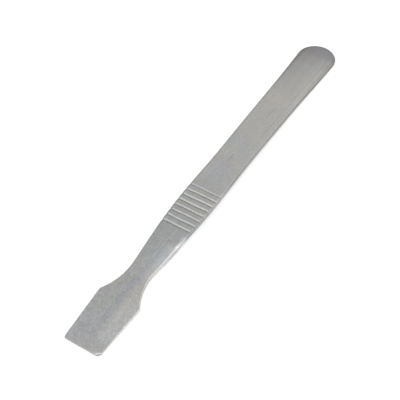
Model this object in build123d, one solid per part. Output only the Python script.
from build123d import *
import math
import os

# Flat opening tool (spudger): one strip of stainless steel, worked to shape.
#
# Frame: +X along the tool from the prying edge to the rounded butt, +Y across
# it, +Z up.  The origin is at the centre of the footprint, on the plane that
# the tool rests on.  Sizes are in millimetres.  A station is a distance from
# the prying edge; x_at() turns it into X.

LENGTH = 120.0            # prying edge to the end of the butt

# Plan: half widths and their stations
TIP_HALF = 4.86           # at the prying edge
TIP_CHAMFER = 0.45        # corner cut at each end of the prying edge
SHOULDER_AT = 14.75       # where the blade is widest
SHOULDER_HALF = 5.62      # before the corner is rounded
SHOULDER_ROUND = 0.80     # radius of that corner
NECK_AT = 23.6            # narrowest section of the neck
NECK_HALF = 3.00
FLARE_SLOPE = 0.105       # straight flare behind the neck
FLARE_TO = 29.0
BUTT_FROM = 114.1982      # where the full-radius end begins

# Thickness
TIP_THICK = 0.64          # at the prying edge
BLADE_TAPER = 0.0275      # rise of the blade's top per mm
TAPER_TO = 14.0           # where the top starts to rise faster

# Curves as chains of arcs, each tangent to the one before it.
# Columns: station where an arc ends, slope of the curve there.
SIDE_ARCS = [             # plan curve behind the flare
    (33.0, 0.068), (38.0, 0.055), (43.0, 0.051), (52.0, -0.008), (58.0, -0.014),
    (70.0, 0.0135), (88.0, 0.015), (100.0, 0.0335), (BUTT_FROM, 0.0388),
]
TOP_ARCS = [              # top of the neck, grip, handle and butt
    (20.0, 0.045), (28.0, 0.052), (38.0, 0.062), (45.0, 0.0), (54.0, -0.010),
    (76.0, -0.010), (98.0, -0.034), (108.0, -0.033), (LENGTH, -0.041),
]

# Bars that are intersected to make the blank
PLAN_BAR_HEIGHT = 6.0
SIDE_BAR_WIDTH = 20.0

EDGE_ROUND = 0.30         # radius on the rim, top and bottom

# Larger rounding of the lower long edges.  Columns: station, radius.
LOW_ROUND = [
    (33.0, 0.10), (34.2, 0.30), (35.4, 0.62), (36.8, 0.92), (38.6, 1.06),
    (42.0, 1.10), (48.0, 1.10), (56.0, 1.08), (64.0, 1.04), (72.0, 0.98),
    (79.0, 0.86), (86.0, 0.72), (93.0, 0.58), (100.0, 0.44), (106.0, 0.32),
    (111.0, 0.12),
]
LOW_ROUND_BITE = 0.03     # how far its circle stands out past both faces
BITE_LIMIT = 0.1          # most that the bite may be, as a share of the radius
LOW_ROUND_MARGIN = 0.6    # how far the cutter reaches outside the blank

# Finger grooves across the top of the grip
GROOVE_COUNT = 8
GROOVE_FIRST = 52.24      # station of the groove nearest the butt
GROOVE_PITCH = 1.90
GROOVE_WIDTH = 0.90
GROOVE_DEPTH = 0.20
GROOVE_OVERRUN = 1.0      # how far the top cutter passes each side
GROOVE_CARRY = 1.6        # cutter height above the surface, per groove depth
SHOULDER_GROOVE_WIDTH = 0.8 * GROOVE_WIDTH
SHOULDER_GROOVE_DEPTH = 0.12
SHOULDER_GROOVE_LENGTH = 0.9
WALL_GROOVE_WIDTH = 0.6 * GROOVE_WIDTH
WALL_GROOVE_DEPTH = 0.6 * SHOULDER_GROOVE_DEPTH
WALL_GROOVE_REACH = 0.95  # how far it runs down the side wall


def x_at(station):
    """X of a station."""
    return station - LENGTH / 2.0


class Chain:
    """Tangent chain of straight lines and arcs, running along the tool.

    Holds the current station, offset (half width or height) and angle, and
    the edges made so far.  A side of -1 mirrors the edges' second coordinate.
    """

    def __init__(self, station, offset, slope, side=1):
        self.station = station
        self.offset = offset
        self.angle = math.atan(slope)
        self.side = side
        self.edges = []
        self.knots = [(station, offset, slope)]

    def point(self, station, offset):
        return (x_at(station), self.side * offset)

    def move_to(self, station, offset, angle):
        self.station = station
        self.offset = offset
        self.angle = angle
        self.knots.append((station, offset, math.tan(angle)))

    def line(self, station):
        """Straight on to a station."""
        offset = self.offset + math.tan(self.angle) * (station - self.station)
        self.edges.append(Line(self.point(self.station, self.offset),
                               self.point(station, offset)))
        self.move_to(station, offset, self.angle)

    def arc(self, station, slope):
        """Arc to a station, with a given slope at its end."""
        end_angle = math.atan(slope)
        if abs(end_angle - self.angle) < 1e-9:
            self.line(station)
            return
        radius = (station - self.station) / (math.sin(end_angle) - math.sin(self.angle))

        def on_arc(angle):
            return (self.station + radius * (math.sin(angle) - math.sin(self.angle)),
                    self.offset + radius * (math.cos(self.angle) - math.cos(angle)))

        middle = on_arc((end_angle + self.angle) / 2.0)
        end = on_arc(end_angle)
        self.edges.append(ThreePointArc(self.point(self.station, self.offset),
                                        self.point(*middle), self.point(*end)))
        self.move_to(*end, end_angle)

    def turn(self, radius, slope):
        """Arc of a given radius, up to a given slope."""
        advance = radius * abs(math.sin(math.atan(slope)) - math.sin(self.angle))
        self.arc(self.station + advance, slope)

    def offset_at(self, station):
        """Offset at a station, with the slope changing evenly between knots."""
        for (start, offset, slope), (end, _, end_slope) in zip(self.knots, self.knots[1:]):
            if start <= station <= end:
                share = (station - start) / (end - start)
                mean_slope = slope + 0.5 * (end_slope - slope) * share
                return offset + (station - start) * mean_slope
        return self.knots[-1][1]


def side_chain(side):
    """Plan curve of one side, from the shoulder back to the butt."""
    run = NECK_AT - SHOULDER_AT
    drop = SHOULDER_HALF - NECK_HALF
    sweep_radius = (run ** 2 + drop ** 2) / (2.0 * drop)
    chain = Chain(SHOULDER_AT, SHOULDER_HALF, -run / (sweep_radius - drop), side)
    chain.arc(NECK_AT, 0.0)
    chain.turn(sweep_radius, FLARE_SLOPE)
    chain.line(FLARE_TO)
    for station, slope in SIDE_ARCS:
        chain.arc(station, slope)
    return chain


def top_chain():
    """Side-view curve of the top, from the prying edge to the butt."""
    chain = Chain(0.0, TIP_THICK, BLADE_TAPER)
    chain.line(TAPER_TO)
    for station, slope in TOP_ARCS:
        chain.arc(station, slope)
    return chain


left = side_chain(+1)     # the +Y side
right = side_chain(-1)
top = top_chain()


def plan_outline():
    """Blade with cut corners, neck, waisted handle and full-radius butt."""
    edge_half = TIP_HALF - TIP_CHAMFER
    edges = [Line((x_at(0), -edge_half), (x_at(0), edge_half))]
    for chain in (left, right):
        corner = (x_at(TIP_CHAMFER), chain.side * TIP_HALF)
        shoulder = (x_at(SHOULDER_AT), chain.side * SHOULDER_HALF)
        edges.append(Line((x_at(0), chain.side * edge_half), corner))
        edges.append(Line(corner, shoulder))
        edges += chain.edges

    # The butt's arc is tangent to both sides.
    butt_x = x_at(left.station)
    butt_radius = left.offset / math.cos(left.angle)
    end_x = butt_x + butt_radius * (1 + math.sin(left.angle))
    edges.append(ThreePointArc((butt_x, left.offset), (end_x, 0.0),
                               (butt_x, -left.offset)))

    outline = make_face(Wire(edges))
    shoulders = [vertex for vertex in outline.vertices()
                 if abs(vertex.X - x_at(SHOULDER_AT)) < 1e-3]
    return fillet(shoulders, SHOULDER_ROUND)


def side_profile():
    """X-Z section under the top curve, with a flat underside."""
    end_x = x_at(top.station)
    return make_face(Wire(top.edges + [
        Line((end_x, top.offset), (end_x, 0.0)),
        Line((end_x, 0.0), (x_at(0), 0.0)),
        Line((x_at(0), 0.0), (x_at(0), TIP_THICK)),
    ]))


def extrude_across(face, width):
    """Stand a face up in X-Z and extrude it along Y, centred on Y = 0."""
    upright = Plane(origin=(0, width / 2.0, 0), x_dir=(1, 0, 0), z_dir=(0, -1, 0))
    return extrude(upright * face, amount=width)


def is_rim(edge):
    """True where the side wall meets the top or the underside.

    Leaves out the upright edges and the seams that cross the top or underside.
    """
    start, middle, end = edge @ 0.0, edge @ 0.5, edge @ 1.0
    same_x = abs(start.X - end.X) < 1e-3
    upright = same_x and abs(start.Y - end.Y) < 1e-3
    seam = (same_x and abs(middle.X - start.X) < 1e-3 and abs(middle.Y) < 0.5
            and abs(start.X) < LENGTH / 2 - 0.01)
    return not upright and not seam


def rounded_blank():
    """What the extruded outline and profile share, with its rim rounded."""
    plan_bar = extrude(plan_outline(), amount=PLAN_BAR_HEIGHT)
    side_bar = extrude_across(side_profile(), SIDE_BAR_WIDTH)
    blank = (plan_bar & side_bar).solids()[0]
    return fillet([edge for edge in blank.edges() if is_rim(edge)], EDGE_ROUND)


def low_round_section(station, radius, side):
    """What the rounding takes off, in the plane across the tool."""
    bite = min(LOW_ROUND_BITE, BITE_LIMIT * radius)
    half_width = left.offset_at(station)
    centre_y = half_width - radius + bite
    centre_z = radius - bite
    outer_y = half_width + LOW_ROUND_MARGIN
    diagonal = radius * math.sqrt(0.5)

    below = (side * centre_y, -LOW_ROUND_MARGIN)
    arc_start = (side * centre_y, -bite)
    arc_middle = (side * (centre_y + diagonal), centre_z - diagonal)
    arc_end = (side * (centre_y + radius), centre_z)
    outer_top = (side * outer_y, centre_z)
    outer_bottom = (side * outer_y, -LOW_ROUND_MARGIN)
    wire = Wire([
        Line(below, arc_start),
        ThreePointArc(arc_start, arc_middle, arc_end),
        Line(arc_end, outer_top),
        Line(outer_top, outer_bottom),
        Line(outer_bottom, below),
    ])
    across = Plane(origin=(x_at(station), 0, 0), x_dir=(0, 1, 0), z_dir=(1, 0, 0))
    return across * make_face(wire)


def low_round_cutter(side):
    """Grows out of the neck's plain edge and dies away before the butt."""
    return loft([low_round_section(station, radius, side)
                 for station, radius in LOW_ROUND])


def vee(width, depth, length):
    """Prism of vee section: opening on local +Z, length along local Y."""
    # The flanks carry on above the surface, so the mouth is wider than the groove.
    mouth_half = width / 2.0 * (1 + GROOVE_CARRY)
    mouth_z = depth * GROOVE_CARRY
    section = make_face(Polyline((-mouth_half, mouth_z), (0, -depth),
                                 (mouth_half, mouth_z), close=True))
    return extrude_across(section, length)


def groove_cutters(station):
    """One groove: across the top, over each shoulder and down each side wall."""
    groove_x = x_at(station)
    top_z = top.offset_at(station)
    half_width = left.offset_at(station)
    # from the square corner in to the middle of the rim's rounding
    inset = EDGE_ROUND * (1 - math.sqrt(0.5))

    cutters = [Pos(groove_x, 0, top_z)
               * vee(GROOVE_WIDTH, GROOVE_DEPTH, 2 * (half_width + GROOVE_OVERRUN))]
    for side in (+1, -1):
        cutters.append(
            Pos(groove_x, side * (half_width - inset), top_z - inset)
            * Rot(-side * 45, 0, 0)
            * vee(SHOULDER_GROOVE_WIDTH, SHOULDER_GROOVE_DEPTH, SHOULDER_GROOVE_LENGTH))
        cutters.append(
            Pos(groove_x, side * half_width, top_z - WALL_GROOVE_REACH / 2.0)
            * Rot(-side * 90, 0, 0)
            * vee(WALL_GROOVE_WIDTH, WALL_GROOVE_DEPTH, WALL_GROOVE_REACH))
    return cutters


def make_spudger_body():
    body = rounded_blank()
    for side in (+1, -1):
        body = body - low_round_cutter(side)

    cutters = []
    for i in range(GROOVE_COUNT):
        cutters += groove_cutters(GROOVE_FIRST - i * GROOVE_PITCH)
    body = body - cutters

    # Keep the tool itself, should the cuts leave any sliver.
    return max(body.solids(), key=lambda solid: solid.volume)


spudger_body = make_spudger_body()
spudger_body.label = "spudger_body"

os.makedirs("parts", exist_ok=True)
export_step(spudger_body, "parts/spudger_body.step")
